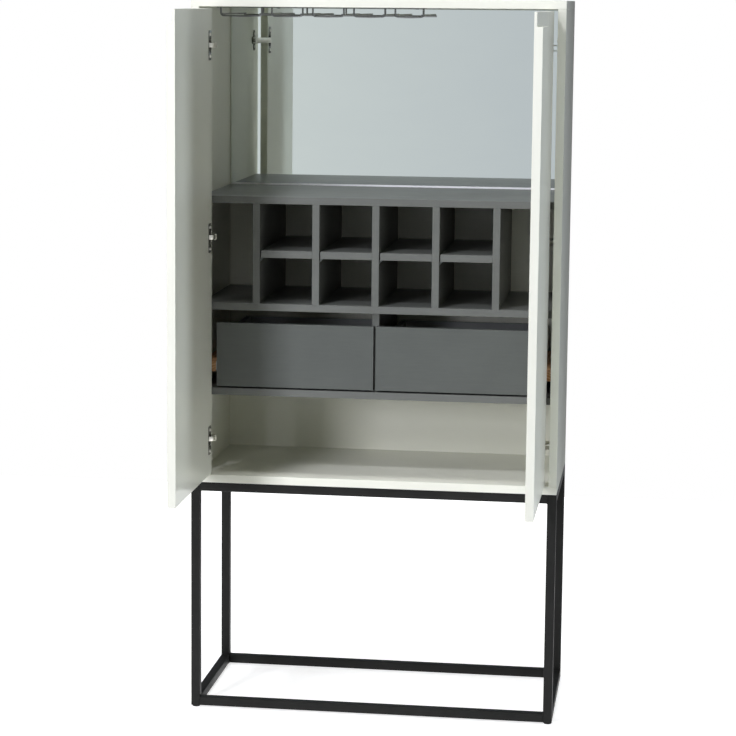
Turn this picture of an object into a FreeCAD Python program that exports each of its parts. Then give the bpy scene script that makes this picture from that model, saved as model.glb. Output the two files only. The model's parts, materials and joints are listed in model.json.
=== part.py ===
import FreeCAD, Part
import math
import os

# Bar cabinet on a square-tube base, drawn with both inset doors open at 90 degrees.
# Millimetres, +Z up, front towards -Y. The origin lies on the floor, under the middle of the whole object
# with its doors open.

V = FreeCAD.Vector

# Carcass
width = 820.0
depth = 380.0
height = 1600.0
board = 18.0
back_board = 8.0
back_rebate = 9.0

# Base of square tube
base_height = 522.0
tube = 20.0
tube_wall = 1.5
tube_bevel = 1.0
glide_height = 4.0
glide_radius = 9.0
foot_sides = 6
stem_radius = 4.0
stem_length = 30.0
plug_height = 14.0
plug_fit = 0.1

# Dark insert: clear heights from the bottom up, and its boards
lower_space = 179.0
drawer_space = 176.0
cubby_space = 223.0
shelf_rise = 103.0
insert_board = 16.0
insert_set_back = 22.0
columns = 6
shelf_gap = 2.5
support_height = 9.0
support_width = 8.0
support_thick = 6.0
support_set_back = 6.0
support_stagger = 64.0
support_rear = 46.0

# Mirror on the back of the upper compartment
mirror_thick = 4.0
mirror_bevel = 1.5

# Drawers and their runners
drawer_wall_gap = 36.0
drawer_centre_gap = 4.6
drawer_front_height = 143.0
drawer_front_board = 16.0
drawer_floor_gap = 4.0
drawer_side_board = 12.0
drawer_side_height = 112.0
drawer_side_raise = 4.0
drawer_rear_gap = 22.0
drawer_bottom_board = 6.0
drawer_bottom_raise = 8.0
drawer_groove = 6.0
batten_thick = 31.0
batten_height = 24.0
batten_raise = 34.0
batten_front_gap = 2.0
runner_front_gap = 4.0
runner_rear_gap = 30.0
runner_space = 12.7
runner_height = 22.0
runner_reach = 10.0
runner_wall = 1.2
runner_clearance = 0.3

# Doors
door_board = 18.0
door_side_gap = 2.0
door_centre_gap = 3.0
door_bottom_gap = 2.0
door_top_gap = 4.0
door_open_gap = 9.0
door_open_set_in = 12.0
notch_height = 30.0
notch_depth = 12.0
notch_length = 195.0

# Concealed hinges: heights of their centres, from the door's bottom and top edges
hinge_low_rise = 79.0
hinge_middle_rise = 533.0
hinge_high_drop = 80.0
cup_radius = 17.5
cup_depth = 12.5
cup_inset = 22.5
cup_wall = 0.8
cup_fit = 0.05
flange_thick = 1.2
flange_near = 13.0
flange_far = 40.0
flange_length = 65.0
flange_cut = 3.0
cup_screw_spacing = 48.0
cup_pin_inset = 11.0
cup_pin_depth = 4.0
cup_lug = 2.0
link_pin_reach = 26.0
link_half_height = 5.0
link_thick = 1.6
link_bulge = 5.5
link_eye_radius = 2.6
link_tip_radius = 1.9
link_clearance = 0.3
pin_radius = 1.5
pin_fit = 0.08
arm_sheet = 1.2
arm_nose_radius = 4.2
arm_rear = 84.0
arm_rear_rise = 11.5
arm_shoulder = 50.0
arm_shoulder_rise = 14.5
arm_heel = 42.0
arm_heel_rise = 5.5
plate_thick = 2.5
plate_front = 46.0
plate_rear = 87.0
plate_width = 17.0
plate_cut = 3.0
wing_centre = 59.0
wing_width = 16.0
wing_span = 50.0
plate_screw_spacing = 32.0
screw_head_radius = 3.8
screw_head_height = 1.4
small_sides = 12

# Hanging rack for stemmed glasses
rack_left_gap = 37.6
rack_width = 450.6
rack_front = 60.0
rack_rear_gap = 28.0
rack_first_tray = 91.8
rack_pitch = 91.3
rack_drop = 17.5
rack_wire = 4.0
wire_sides = 8
rack_bend = 6.0
rack_dip = 1.0
rack_slots = 4
rack_slot_width = 22.5
strip_width = 14.0
strip_thick = 2.0
strip_overhang = 8.0
rack_screw_left = 128.6
rack_screw_right = 14.7
weld_share = 0.1

overrun = 1.0

# Places that follow from the sizes above, measured from the middle of the width, the rear and the floor
door_width = (width - 2 * board - 2 * door_side_gap - door_centre_gap) / 2
front = (door_width - door_open_set_in - depth) / 2
rear = front + depth
outer_left = -width / 2
inner_left = outer_left + board
inner_right = -inner_left
floor_top = base_height + board
ceiling = height - board
back_face = rear - back_board
lower_board_z = floor_top + lower_space
drawer_floor = lower_board_z + insert_board
middle_board_z = drawer_floor + drawer_space
cubby_floor = middle_board_z + insert_board
top_board_z = cubby_floor + cubby_space
upper_floor = top_board_z + insert_board
insert_front = front + insert_set_back
column_width = (inner_right - inner_left - (columns - 1) * insert_board) / columns
door_bottom = floor_top + door_bottom_gap
door_top = ceiling - door_top_gap
hinge_heights = [
    door_bottom + hinge_low_rise,
    door_bottom + hinge_middle_rise,
    door_top - hinge_high_drop,
]

# The left door turns about this upright line, and lands with the stated gap to the wall and set-in from
# the front
swing = V(
    inner_left + (door_open_gap + door_open_set_in + door_side_gap) / 2,
    front + (door_open_set_in + door_side_gap - door_open_gap) / 2,
    0,
)
cup_screw_set = (flange_near + flange_far) / 2
arm_half_height = link_half_height + link_clearance + arm_sheet


def box(low, high):
    return Part.makeBox(high.x - low.x, high.y - low.y, high.z - low.z, low)


def drawn_out(points, direction):
    return Part.Face(Part.makePolygon(points + [points[0]])).extrude(direction)


def ring(radius, sides, centre, axis):
    """Closed regular outline about a centre, square to an axis."""
    tilt = FreeCAD.Rotation(V(0, 0, 1), axis)
    step = 2 * math.pi / sides
    spokes = [V(math.cos(step * side), math.sin(step * side), 0) * radius for side in range(sides)]
    points = [centre + tilt.multVec(spoke) for spoke in spokes]
    return Part.makePolygon(points + [points[0]])


def prism(radius, sides, start, end):
    axis = end - start
    return Part.Face(ring(radius, sides, start, axis)).extrude(axis)


def fused(shapes):
    whole = shapes[0].multiFuse(shapes[1:]) if len(shapes) > 1 else shapes[0]
    return whole.removeSplitter()


def group(shapes):
    return Part.makeCompound(shapes)


def mirrored(shape):
    return shape.mirror(V(0, 0, 0), V(1, 0, 0))


def turned(shape, centre, axis, degrees):
    copy = shape.copy()
    copy.rotate(centre, axis, degrees)
    return copy


def moved(shape, offset):
    copy = shape.copy()
    copy.translate(offset)
    return copy


def bevelled_rectangle(long_side, short_side, cut):
    """Closed wire in the XY plane, centred on the origin, with its corners cut off."""
    x = long_side / 2
    y = short_side / 2
    points = [
        V(x, y - cut, 0), V(x - cut, y, 0), V(cut - x, y, 0), V(-x, y - cut, 0),
        V(-x, cut - y, 0), V(cut - x, -y, 0), V(x - cut, -y, 0), V(x, cut - y, 0),
    ]
    return Part.makePolygon(points + [points[0]])


def slot_wire(length, slot_width):
    """Closed wire in the XY plane: a bar along X with half-round ends."""
    radius = slot_width / 2
    run = length / 2 - radius
    low = Part.LineSegment(V(-run, -radius, 0), V(run, -radius, 0))
    right = Part.Arc(V(run, -radius, 0), V(run + radius, 0, 0), V(run, radius, 0))
    high = Part.LineSegment(V(run, radius, 0), V(-run, radius, 0))
    left = Part.Arc(V(-run, radius, 0), V(-run - radius, 0, 0), V(-run, -radius, 0))
    return Part.Wire([low.toShape(), right.toShape(), high.toShape(), left.toShape()])


# Carcass

def side_panel():
    panel = box(V(outer_left, front, floor_top), V(inner_left, rear, ceiling))
    rebate = box(
        V(inner_left - back_rebate, back_face, floor_top - overrun),
        V(inner_left + overrun, rear + overrun, ceiling + overrun),
    )
    return panel.cut(rebate)


def level_panel(low, rebate_low):
    """Top or bottom panel, which runs over the ends of the sides; the back sits in its rebate."""
    panel = box(V(outer_left, front, low), V(-outer_left, rear, low + board))
    rebate = box(
        V(inner_left - back_rebate, back_face, rebate_low),
        V(inner_right + back_rebate, rear + overrun, rebate_low + back_rebate + overrun),
    )
    return panel.cut(rebate)


def top_panel():
    return level_panel(ceiling, ceiling - overrun)


def bottom_panel():
    return level_panel(base_height, floor_top - back_rebate)


def back_panel():
    return box(
        V(inner_left - back_rebate, back_face, floor_top - back_rebate),
        V(inner_right + back_rebate, rear, ceiling + back_rebate),
    )


def mirror_panel():
    glass = box(V(inner_left, back_face - mirror_thick, upper_floor), V(inner_right, back_face, ceiling))
    front_face = min(glass.Faces, key=lambda face: face.CenterOfMass.y)
    return glass.makeChamfer(mirror_bevel, front_face.Edges)


# Dark insert

def insert_level(low):
    return box(V(inner_left, insert_front, low), V(inner_right, back_face, low + insert_board))


def column_left(column):
    return inner_left + column * (column_width + insert_board)


def divider(column):
    """Upright on the right of a column."""
    left = column_left(column) + column_width
    return box(V(left, insert_front, cubby_floor), V(left + insert_board, back_face, top_board_z))


def shelf(column):
    left = column_left(column)
    low = cubby_floor + shelf_rise
    return box(
        V(left + shelf_gap, insert_front, low),
        V(left + column_width, back_face, low + insert_board),
    )


def shelf_support(face_x, side, y):
    """Wedge under a shelf's end: side is 1 on a column's left wall and -1 on its right wall."""
    top = cubby_floor + shelf_rise
    outline = [
        V(face_x, y, top),
        V(face_x + side * support_width, y, top),
        V(face_x, y, top - support_height),
    ]
    return drawn_out(outline, V(0, support_thick, 0))


def shelf_supports():
    wedges = []
    for column in range(1, columns - 1):
        left = column_left(column)
        right = left + column_width
        near = insert_front + support_set_back
        far = back_face - support_rear
        wedges.append(shelf_support(left, 1, near))
        wedges.append(shelf_support(right, -1, near + support_stagger))
        wedges.append(shelf_support(left, 1, far))
        wedges.append(shelf_support(right, -1, far))
    return group(wedges)


def drawer_partition():
    return box(
        V(-insert_board / 2, insert_front + drawer_front_board + batten_front_gap, drawer_floor),
        V(insert_board / 2, back_face, middle_board_z),
    )


# Drawers and runners, drawn on the left and mirrored for the right

batten_face = inner_left + batten_thick
partition_face = -insert_board / 2
batten_front = insert_front + drawer_front_board + batten_front_gap
batten_z = drawer_floor + batten_raise
runner_front = insert_front + drawer_front_board + runner_front_gap
runner_rear = back_face - runner_rear_gap
runner_z = batten_z + (batten_height - runner_height) / 2
box_left = batten_face + runner_space
box_right = partition_face - runner_space
box_front = insert_front + drawer_front_board
box_rear = back_face - drawer_rear_gap
box_bottom = drawer_floor + drawer_floor_gap + drawer_side_raise
box_top = box_bottom + drawer_side_height
bottom_low = box_bottom + drawer_bottom_raise


def runner_battens():
    left = box(
        V(inner_left, batten_front, batten_z),
        V(batten_face, runner_rear, batten_z + batten_height),
    )
    return group([left, mirrored(left)])


def channel(web_x, side, low, high):
    """Runner member: a channel with its web at web_x, open towards side."""
    inner_x = web_x + side * runner_wall
    edge_x = web_x + side * runner_reach
    outline = [
        V(web_x, runner_front, low),
        V(edge_x, runner_front, low),
        V(edge_x, runner_front, low + runner_wall),
        V(inner_x, runner_front, low + runner_wall),
        V(inner_x, runner_front, high - runner_wall),
        V(edge_x, runner_front, high - runner_wall),
        V(edge_x, runner_front, high),
        V(web_x, runner_front, high),
    ]
    return drawn_out(outline, V(0, runner_rear - runner_front, 0))


def cabinet_runners():
    low = runner_z
    high = runner_z + runner_height
    left = [channel(batten_face, 1, low, high), channel(partition_face, -1, low, high)]
    return group(left + [mirrored(member) for member in left])


def drawer_runners():
    inset = runner_wall + runner_clearance
    low = runner_z + inset
    high = runner_z + runner_height - inset
    return group([channel(box_left, -1, low, high), channel(box_right, 1, low, high)])


def drawer_front():
    low = drawer_floor + drawer_floor_gap
    return box(
        V(inner_left + drawer_wall_gap, insert_front, low),
        V(-drawer_centre_gap / 2, box_front, low + drawer_front_height),
    )


def drawer_groove_cut():
    bottom_left = box_left + drawer_side_board - drawer_groove
    bottom_right = box_right - drawer_side_board + drawer_groove
    return box(
        V(bottom_left, box_front - overrun, bottom_low),
        V(bottom_right, box_rear + overrun, bottom_low + drawer_bottom_board),
    )


def drawer_sides():
    left = box(
        V(box_left, box_front, box_bottom),
        V(box_left + drawer_side_board, box_rear, box_top),
    )
    right = box(
        V(box_right - drawer_side_board, box_front, box_bottom),
        V(box_right, box_rear, box_top),
    )
    groove = drawer_groove_cut()
    return group([left.cut(groove), right.cut(groove)])


def drawer_back():
    return box(
        V(box_left + drawer_side_board, box_rear - drawer_side_board, bottom_low + drawer_bottom_board),
        V(box_right - drawer_side_board, box_rear, box_top),
    )


def drawer_bottom():
    return box(
        V(box_left + drawer_side_board - drawer_groove, box_front, bottom_low),
        V(box_right - drawer_side_board + drawer_groove, box_rear, bottom_low + drawer_bottom_board),
    )


# Doors: the left one is drawn shut and swung open; the right one is its mirror image

def swung_open(shape):
    return turned(shape, swing, V(0, 0, 1), -90)


hinge_edge = inner_left + door_side_gap
door_inner_face = front + door_board
cup_centre = V(hinge_edge + cup_inset, door_inner_face, 0)


def cup_hole(z):
    return Part.makeCylinder(
        cup_radius + cup_fit, cup_depth + overrun, V(cup_centre.x, door_inner_face - cup_depth, z), V(0, 1, 0)
    )


def shut_door():
    free_edge = hinge_edge + door_width
    leaf = box(V(hinge_edge, front, door_bottom), V(free_edge, door_inner_face, door_top))
    slope = notch_depth / notch_length
    outline = [
        V(free_edge - notch_length - overrun, front - overrun * slope, door_top - notch_height),
        V(free_edge + overrun, front - overrun * slope, door_top - notch_height),
        V(free_edge + overrun, front + notch_depth + overrun * slope, door_top - notch_height),
    ]
    notch = drawn_out(outline, V(0, 0, notch_height + overrun))
    return leaf.cut(fused([notch] + [cup_hole(z) for z in hinge_heights]))


def flange(z):
    """Flat plate with cut corners on the door's inner face."""
    plate = Part.Face(bevelled_rectangle(flange_far - flange_near, flange_length, flange_cut))
    plate = turned(plate.extrude(V(0, 0, flange_thick)), V(0, 0, 0), V(1, 0, 0), -90)
    return moved(plate, V(hinge_edge + cup_screw_set, door_inner_face, z))


def hinge_cup(z):
    """Pressed bowl with its flange; two lugs in the bowl hold the link's tip between them."""
    bottom = V(cup_centre.x, door_inner_face - cup_depth, z)
    bowl = Part.makeCylinder(cup_radius, cup_depth, bottom, V(0, 1, 0))
    hollow_radius = cup_radius - cup_wall
    hollow = Part.makeCylinder(
        hollow_radius, cup_depth + flange_thick + overrun, bottom + V(0, cup_wall, 0), V(0, 1, 0)
    )
    cup = fused([bowl, flange(z)]).cut(hollow)
    half_chord = math.sqrt(hollow_radius ** 2 - (cup_inset - cup_pin_inset) ** 2)
    start = link_half_height + link_clearance
    end = half_chord + cup_wall / 2
    middle = V(hinge_edge + cup_pin_inset, door_inner_face - cup_pin_depth, z)
    half_lug = V(cup_lug / 2, cup_lug / 2, 0)
    lugs = [
        box(middle - half_lug + V(0, 0, start), middle + half_lug + V(0, 0, end)),
        box(middle - half_lug - V(0, 0, end), middle + half_lug - V(0, 0, start)),
    ]
    return fused([cup] + lugs)


def screw_head(seat, axis):
    """Low tapered head of a screw: seat is the middle of its underside, axis points out of its top."""
    top = seat + axis * screw_head_height
    rims = [
        ring(screw_head_radius, small_sides, seat, axis),
        ring(screw_head_radius - screw_head_height / 2, small_sides, top, axis),
    ]
    return Part.makeLoft(rims, True, True)


def cup_screws():
    heads = []
    for z in hinge_heights:
        for side in (-1, 1):
            centre = V(hinge_edge + cup_screw_set, door_inner_face + flange_thick, z)
            heads.append(screw_head(centre + V(0, 0, side * cup_screw_spacing / 2), V(0, 1, 0)))
    return group(heads)


# Hinge links: each turns about a pin in its arm, and its tip meets the cup's lugs with the door shut
# and at 90 degrees

shut_tip = V(hinge_edge + cup_pin_inset, door_inner_face - cup_pin_depth, 0)
open_tip = V(swing.x + (shut_tip.y - swing.y), swing.y - (shut_tip.x - swing.x), 0)
pin_bearing = math.atan2(shut_tip.y - swing.y, shut_tip.x - swing.x) - math.pi / 4
arm_pin = swing + V(math.cos(pin_bearing), math.sin(pin_bearing), 0) * link_pin_reach
shut_bearing = math.atan2(shut_tip.y - arm_pin.y, shut_tip.x - arm_pin.x)
open_bearing = math.atan2(open_tip.y - arm_pin.y, open_tip.x - arm_pin.x)
link_turn = (open_bearing - shut_bearing) % (2 * math.pi)
link_ratio = link_turn / (math.pi / 2)


def arc_between(centre, start, middle, end, radius):
    points = [centre + (point - centre).normalize() * radius for point in (start, middle, end)]
    return Part.Arc(points[0], points[1], points[2])


def hinge_link(z):
    """Cranked strip in the open position, with an eye round each pin."""
    chord = open_tip - arm_pin
    along = V(chord.x, chord.y, 0).normalize()
    normal = V(-along.y, along.x, 0)
    crown = (arm_pin + open_tip) * 0.5 + normal * link_bulge
    radius = (chord.Length ** 2 / 4 + link_bulge ** 2) / (2 * link_bulge)
    centre = crown - normal * radius
    outer = arc_between(centre, arm_pin, crown, open_tip, radius + link_thick / 2)
    inner = arc_between(centre, arm_pin, crown, open_tip, radius - link_thick / 2)
    rim = Part.Wire([
        outer.toShape(),
        Part.LineSegment(outer.EndPoint, inner.EndPoint).toShape(),
        inner.toShape(),
        Part.LineSegment(inner.StartPoint, outer.StartPoint).toShape(),
    ])
    lift = V(0, 0, z - link_half_height)
    rise = 2 * link_half_height
    strip = moved(Part.Face(rim).extrude(V(0, 0, rise)), lift)
    eye = prism(link_eye_radius, small_sides, arm_pin + lift, arm_pin + lift + V(0, 0, rise))
    tip = prism(link_tip_radius, small_sides, open_tip + lift, open_tip + lift + V(0, 0, rise))
    bore = Part.makeCylinder(pin_radius + pin_fit, rise + 2 * overrun, arm_pin + lift - V(0, 0, overrun))
    return fused([strip, eye, tip]).cut(bore)


# Hinge arms with their pins, and mounting plates, at the left wall

def hinge_arm(z):
    """Folded channel arm: two cheeks with a round nose about the pin, and the web over them."""
    wall = inner_left
    foot = wall + plate_thick
    shoulder = V(foot + arm_shoulder_rise, front + arm_shoulder, 0)
    heel = V(foot + arm_heel_rise, front + arm_heel, 0)
    nose = tangent_point(arm_pin, shoulder, arm_nose_radius, -1)
    chin = tangent_point(arm_pin, heel, arm_nose_radius, 1)
    outline = [
        nose,
        shoulder,
        V(foot + arm_rear_rise, front + arm_rear, 0),
        V(foot, front + arm_rear, 0),
        V(foot, front + arm_shoulder, 0),
        heel,
        chin,
        arm_pin,
    ]
    body = fused([
        drawn_out(outline, V(0, 0, 2 * arm_half_height)),
        Part.makeCylinder(arm_nose_radius, 2 * arm_half_height, arm_pin),
    ])
    body = moved(body, V(0, 0, z - arm_half_height))
    gap = link_half_height + link_clearance
    inner_nose = arm_nose_radius - arm_sheet
    inward = V(-arm_sheet, 0, 0)
    far = V(-2 * arm_nose_radius - link_pin_reach, 0, 0)
    web_nose = tangent_point(arm_pin, shoulder + inward, inner_nose, -1)
    hollow_outline = [
        web_nose,
        shoulder + inward,
        V(foot + arm_rear_rise, front + arm_rear + overrun, 0) + inward,
        V(foot + arm_rear_rise, front + arm_rear + overrun, 0) + far,
        V(arm_pin.x, arm_pin.y - inner_nose, 0) + far,
        V(arm_pin.x, arm_pin.y - inner_nose, 0),
    ]
    hollow = fused([
        drawn_out(hollow_outline, V(0, 0, 2 * gap)),
        Part.makeCylinder(inner_nose, 2 * gap, arm_pin),
    ])
    mouth = box(
        V(arm_pin.x + far.x, arm_pin.y - 2 * arm_nose_radius, 0),
        V(arm_pin.x + 2 * arm_nose_radius, arm_pin.y, 2 * gap),
    )
    hollow = moved(fused([hollow, mouth]), V(0, 0, z - gap))
    low = arm_pin + V(0, 0, z - arm_half_height)
    pin = prism(pin_radius, small_sides, low, low + V(0, 0, 2 * arm_half_height))
    return fused([body.cut(hollow), pin])


def tangent_point(centre, point, radius, side):
    """Where the straight line from a point touches a circle; side picks which of the two."""
    gap = centre.distanceToPoint(point)
    bearing = math.atan2(point.y - centre.y, point.x - centre.x)
    spread = math.acos(radius / gap)
    angle = bearing + side * spread
    return centre + V(math.cos(angle), math.sin(angle), 0) * radius


def hinge_plate(z):
    """Cross-shaped mounting plate on the wall: a bar under the arm and two round wings for the screws."""
    bar = Part.Face(bevelled_rectangle(plate_width, plate_rear - plate_front, plate_cut))
    bar = bar.extrude(V(0, 0, plate_thick))
    wings = Part.Face(slot_wire(wing_span, wing_width)).extrude(V(0, 0, plate_thick))
    wings = moved(wings, V(0, wing_centre - (plate_front + plate_rear) / 2, 0))
    plate = turned(fused([bar, wings]), V(0, 0, 0), V(0, 1, 0), 90)
    return moved(plate, V(inner_left, front + (plate_front + plate_rear) / 2, z))


def plate_screws():
    heads = []
    for z in hinge_heights:
        for side in (-1, 1):
            seat = V(inner_left + plate_thick, front + wing_centre, z + side * plate_screw_spacing / 2)
            heads.append(screw_head(seat, V(1, 0, 0)))
    return heads


def both_walls(shapes):
    return group(shapes + [mirrored(shape) for shape in shapes])


# Glass rack of bent wire, hung from two strips under the top panel

rack_left = inner_left + rack_left_gap
rack_y = front + rack_front
rack_rear_y = back_face - mirror_thick - rack_rear_gap
wire_radius = rack_wire / 2
strip_low = ceiling - strip_thick
wire_z = ceiling - rack_drop - wire_radius
slot_lefts = [rack_left + rack_first_tray + slot * rack_pitch for slot in range(rack_slots)]
tray_lefts = [rack_left] + [left + rack_slot_width for left in slot_lefts]
tray_rights = slot_lefts + [rack_left + rack_width]


def bent_path(points, radii):
    """Wire through the points, with a tangent arc of the given radius at each point between the ends."""
    edges = []
    start = points[0]
    for before, corner, after, radius in zip(points, points[1:], points[2:], radii):
        arriving = (corner - before).normalize()
        leaving = (after - corner).normalize()
        turn = arriving.getAngle(leaving)
        reach = radius * math.tan(turn / 2)
        arc_start = corner - arriving * reach
        arc_end = corner + leaving * reach
        bisector = (leaving - arriving).normalize()
        middle = corner + bisector * (radius / math.cos(turn / 2) - radius)
        edges.append(Part.LineSegment(start, arc_start).toShape())
        edges.append(Part.Arc(arc_start, middle, arc_end).toShape())
        start = arc_end
    edges.append(Part.LineSegment(start, points[-1]).toShape())
    return Part.Wire(edges)


def tray_wire(left, right, y):
    """Front wire of one tray: down, across with a slight dip, and up again."""
    middle = (left + right) / 2
    points = [
        V(left, y, strip_low + strip_thick / 2),
        V(left, y, wire_z),
        V(middle, y, wire_z - rack_dip),
        V(right, y, wire_z),
        V(right, y, strip_low + strip_thick / 2),
    ]
    path = bent_path(points, [rack_bend, right - left, rack_bend])
    section = ring(wire_radius, wire_sides, points[0], V(0, 0, 1))
    return path.makePipeShell([section], True, False)


def straight_wire(start, end):
    return prism(wire_radius, wire_sides, start, end)


def rack_strip(y):
    low = V(rack_left - strip_overhang, y - strip_width / 2, strip_low)
    high = V(rack_left + rack_width + strip_overhang, y + strip_width / 2, ceiling)
    return box(low, high)


def rack_screw_places():
    """Middles of the screw seats: two under the front strip, one in each outer slot under the rear strip."""
    places = [
        V(rack_left + rack_screw_left, rack_y, strip_low),
        V(rack_left + rack_width - rack_screw_right, rack_y, strip_low),
    ]
    for left in (slot_lefts[0], slot_lefts[-1]):
        places.append(V(left + rack_slot_width / 2, rack_rear_y, strip_low))
    return places


def glass_rack():
    weld = rack_wire * (1 - weld_share)
    strip_middle = strip_low + strip_thick / 2
    parts = [rack_strip(rack_y), rack_strip(rack_rear_y)]
    for left, right in zip(tray_lefts, tray_rights):
        parts.append(tray_wire(left, right, rack_y))
        for x in (left + weld, right - weld):
            start = V(x, rack_y - wire_radius, wire_z + weld)
            parts.append(straight_wire(start, V(start.x, rack_rear_y + wire_radius, start.z)))
        hanger = V((left + right) / 2, rack_rear_y, wire_z)
        parts.append(straight_wire(hanger, V(hanger.x, hanger.y, strip_middle)))
    cross = V(rack_left, rack_rear_y, wire_z)
    parts.append(straight_wire(cross, cross + V(rack_width, 0, 0)))
    return fused(parts)


def rack_screws():
    return group([screw_head(place, V(0, 0, -1)) for place in rack_screw_places()])


# Base

def tube_along_z(length):
    outer = Part.Face(bevelled_rectangle(tube, tube, tube_bevel)).extrude(V(0, 0, length))
    half_bore = tube / 2 - tube_wall
    return outer.cut(box(V(-half_bore, -half_bore, -overrun), V(half_bore, half_bore, length + overrun)))


def rail(start, end):
    """Tube between two points on its centre line, along X or Y."""
    run = end - start
    piece = tube_along_z(run.Length)
    piece.Placement = FreeCAD.Placement(start, FreeCAD.Rotation(V(0, 0, 1), run))
    return piece


leg_x = width / 2 - tube / 2
front_leg_y = front + tube / 2
rear_leg_y = rear - tube / 2
low_rail_z = glide_height + tube / 2
high_rail_z = base_height - tube / 2


def leg(x, y):
    return moved(tube_along_z(base_height - glide_height), V(x, y, glide_height))


def cross_rails(y):
    reach = leg_x - tube / 2
    return group([rail(V(-reach, y, z), V(reach, y, z)) for z in (low_rail_z, high_rail_z)])


def side_rails(x):
    start = front_leg_y + tube / 2
    end = rear_leg_y - tube / 2
    return group([rail(V(x, start, z), V(x, end, z)) for z in (low_rail_z, high_rail_z)])


def glide(x, y):
    """Six-sided foot on an upright stem."""
    centre = V(x, y, 0)
    top = centre + V(0, 0, glide_height)
    foot = prism(glide_radius, foot_sides, centre, top)
    stem = prism(stem_radius, small_sides, top, top + V(0, 0, stem_length))
    return fused([foot, stem])


def leg_plug(x, y):
    half = tube / 2 - tube_wall - plug_fit
    body = box(V(x - half, y - half, glide_height), V(x + half, y + half, glide_height + plug_height))
    bore_radius = (stem_radius + pin_fit) / math.cos(math.pi / small_sides)
    low = V(x, y, glide_height - overrun)
    return body.cut(prism(bore_radius, small_sides, low, low + V(0, 0, plug_height + 2 * overrun)))


corners = {
    "front_left": (-leg_x, front_leg_y),
    "front_right": (leg_x, front_leg_y),
    "rear_left": (-leg_x, rear_leg_y),
    "rear_right": (leg_x, rear_leg_y),
}


def all_nodes():
    left_side = side_panel()
    nodes = {
        "left_side_panel": left_side,
        "right_side_panel": mirrored(left_side),
        "top_panel": top_panel(),
        "bottom_panel": bottom_panel(),
        "back_panel": back_panel(),
        "mirror_panel": mirror_panel(),
        "insert_top_board": insert_level(top_board_z),
        "insert_middle_board": insert_level(middle_board_z),
        "insert_lower_board": insert_level(lower_board_z),
        "shelf_supports": shelf_supports(),
        "drawer_partition": drawer_partition(),
        "runner_battens": runner_battens(),
        "cabinet_runners": cabinet_runners(),
        "glass_rack": glass_rack(),
        "rack_screws": rack_screws(),
        "hinge_arms": both_walls([hinge_arm(z) for z in hinge_heights]),
        "hinge_plates": both_walls([hinge_plate(z) for z in hinge_heights]),
        "plate_screws": both_walls(plate_screws()),
        "front_rails": cross_rails(front_leg_y),
        "rear_rails": cross_rails(rear_leg_y),
        "left_rails": side_rails(-leg_x),
        "right_rails": side_rails(leg_x),
        "leg_plugs": group([leg_plug(x, y) for x, y in corners.values()]),
    }
    for column in range(columns - 1):
        nodes["divider_%d" % (column + 1)] = divider(column)
    for column in range(1, columns - 1):
        nodes["shelf_%d" % column] = shelf(column)
    for name, (x, y) in corners.items():
        nodes[name + "_leg"] = leg(x, y)
        nodes[name + "_glide"] = glide(x, y)
    handed = {
        "drawer_front": drawer_front(),
        "drawer_sides": drawer_sides(),
        "drawer_back": drawer_back(),
        "drawer_bottom": drawer_bottom(),
        "drawer_runners": drawer_runners(),
        "door": swung_open(shut_door()),
        "hinge_cups": swung_open(group([hinge_cup(z) for z in hinge_heights])),
        "cup_screws": swung_open(cup_screws()),
        "hinge_links": group([hinge_link(z) for z in hinge_heights]),
    }
    for name, shape in handed.items():
        nodes["left_" + name] = shape
        nodes["right_" + name] = mirrored(shape)
    return nodes


def main():
    os.makedirs("parts", exist_ok=True)
    nodes = all_nodes()
    for name, shape in nodes.items():
        shape.exportStep("parts/" + name + ".step")
    print("nodes", len(nodes))
    print("door hinge at", round(swing.x, 3), round(swing.y, 3))
    print("link hinge at", round(arm_pin.x, 3), round(arm_pin.y, 3), "ratio", round(link_ratio, 5))


main()
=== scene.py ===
import bmesh
import bpy
import json
import math
from mathutils import Matrix, Vector

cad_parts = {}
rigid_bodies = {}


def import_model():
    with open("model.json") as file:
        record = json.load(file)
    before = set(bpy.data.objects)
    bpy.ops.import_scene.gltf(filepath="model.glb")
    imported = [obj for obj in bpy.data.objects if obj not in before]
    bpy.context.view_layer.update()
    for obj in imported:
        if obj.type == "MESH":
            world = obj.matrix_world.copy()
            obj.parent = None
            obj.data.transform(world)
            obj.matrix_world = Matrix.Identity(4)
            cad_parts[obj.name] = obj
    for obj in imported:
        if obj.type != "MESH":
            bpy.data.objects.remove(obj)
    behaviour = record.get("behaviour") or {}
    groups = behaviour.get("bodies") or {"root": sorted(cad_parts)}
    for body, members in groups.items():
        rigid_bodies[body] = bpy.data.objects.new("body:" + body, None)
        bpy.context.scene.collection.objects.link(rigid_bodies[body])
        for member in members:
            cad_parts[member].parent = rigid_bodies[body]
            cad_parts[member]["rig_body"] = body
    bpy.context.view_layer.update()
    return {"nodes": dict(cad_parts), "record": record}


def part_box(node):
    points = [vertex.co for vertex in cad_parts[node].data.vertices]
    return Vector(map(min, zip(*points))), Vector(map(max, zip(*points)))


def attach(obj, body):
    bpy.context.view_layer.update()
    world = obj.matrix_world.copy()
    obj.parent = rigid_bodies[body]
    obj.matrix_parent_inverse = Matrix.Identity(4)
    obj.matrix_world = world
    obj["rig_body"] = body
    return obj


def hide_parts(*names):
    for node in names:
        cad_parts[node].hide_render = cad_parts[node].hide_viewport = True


mm = 0.001
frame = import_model()
nodes = frame["nodes"]
slotOf = {row["node"]: row["material_slot"] for row in frame["record"]["subparts"]}
bodyOf = {name: node["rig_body"] for name, node in nodes.items()}
print("frame loaded,", len(nodes), "nodes")


# Shader nodes: one method makes any node, and sums of its outputs add Math nodes

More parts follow.
